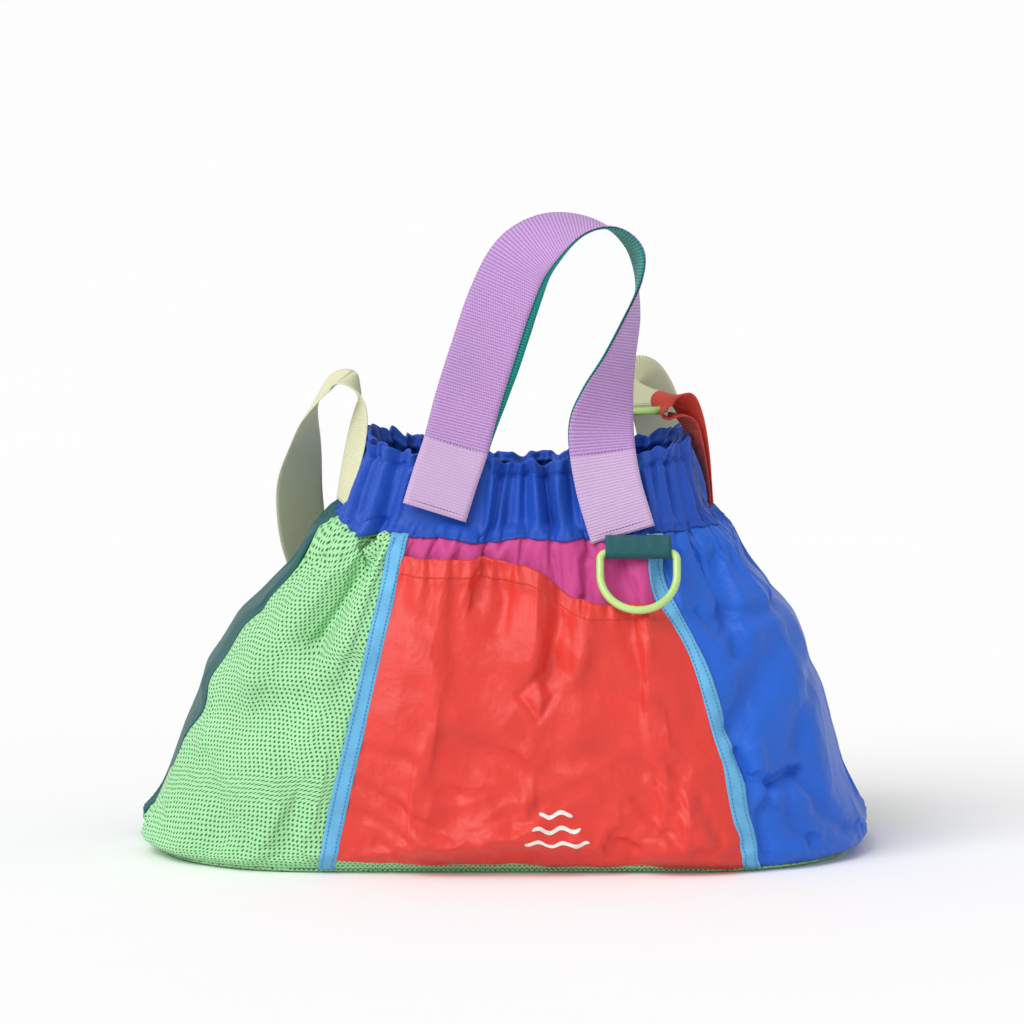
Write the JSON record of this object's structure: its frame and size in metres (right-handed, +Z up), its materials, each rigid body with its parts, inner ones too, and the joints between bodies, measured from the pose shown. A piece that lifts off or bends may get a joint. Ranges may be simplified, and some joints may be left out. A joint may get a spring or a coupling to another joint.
{
  "type": "gathered beach tote",
  "caption": "Colour-blocked fabric tote with a gathered elastic top, a carry handle, a shoulder strap, a patch pocket and hanging rings.",
  "frame": {"origin": "bottom centre of the bag's overall box, on the surface it stands on", "axes": "+Z up, -Y the front with the pocket, +X to the right seen from the front"},
  "size_m": [0.5529, 0.3542, 0.4979],
  "materials": {
    "green_mesh": "open mesh",
    "teal_nylon": "matte woven",
    "magenta_nylon": "soft woven nylon",
    "blue_nylon": "soft woven nylon",
    "sky_tape": "ribbed binding tape",
    "orange_nylon": "coated nylon",
    "white_print": "screen print",
    "elastic": "woven elastic",
    "teal_webbing": "ribbed webbing",
    "lilac_webbing": "ribbed webbing",
    "lilac_thread": "thread",
    "grosgrain": "twill grosgrain",
    "cream_webbing": "soft webbing",
    "red_webbing": "ribbed webbing",
    "lime_coated_ring": "coated metal"
  },
  "bodies": {
    "bag": {"base_panel": "green_mesh", "back_panel": "teal_nylon", "front_panel": "magenta_nylon", "mesh_side_panel": "green_mesh", "nylon_side_panel": "blue_nylon", "binding_left": "sky_tape", "binding_right": "sky_tape", "pocket_panel": "orange_nylon", "pocket_hem": "orange_nylon", "pocket_print": "white_print", "collar_front": "blue_nylon", "collar_back": "blue_nylon", "collar_facing": "blue_nylon", "elastic_band": "elastic", "handle_foot_left_inner": "teal_webbing", "handle_foot_left_outer": "lilac_webbing", "handle_foot_right_inner": "teal_webbing", "handle_foot_right_outer": "lilac_webbing", "handle_stitching": "lilac_thread", "ring_loop": "grosgrain", "strap_sewn_end": "cream_webbing", "side_tab": "red_webbing"},
    "handle": {"handle_outer_webbing": "lilac_webbing", "handle_inner_webbing": "teal_webbing"},
    "front_ring": {"front_ring": "lime_coated_ring"},
    "shoulder_strap": {"shoulder_strap": "cream_webbing", "strap_ring_fold": "cream_webbing"},
    "side_ring": {"side_ring": "lime_coated_ring"}
  },
  "joints": [
    {"name": "handle_swing", "type": "hinge", "parent": "bag", "child": "handle", "pos_m": [0.018, -0.1012, 0.318], "axis": [1, 0, 0], "range_deg": [-20, 100]},
    {"name": "front_ring_swing", "type": "hinge", "parent": "bag", "child": "front_ring", "pos_m": [0.101, -0.1245, 0.24], "axis": [-1, 0, 0], "range_deg": [0, 100]},
    {"name": "strap_swing", "type": "hinge", "parent": "bag", "child": "shoulder_strap", "pos_m": [0, -0.012, 0.34], "axis": [1, 0, 0], "range_deg": [0, 110]},
    {"name": "side_ring_turn", "type": "hinge", "parent": "shoulder_strap", "child": "side_ring", "pos_m": [0.099, -0.012, 0.34], "axis": [1, 0, 0], "range_deg": [-110, 0]}
  ],
  "couplings": [
    {"joint": "side_ring_turn", "follows": "strap_swing", "ratio": -1}
  ]
}
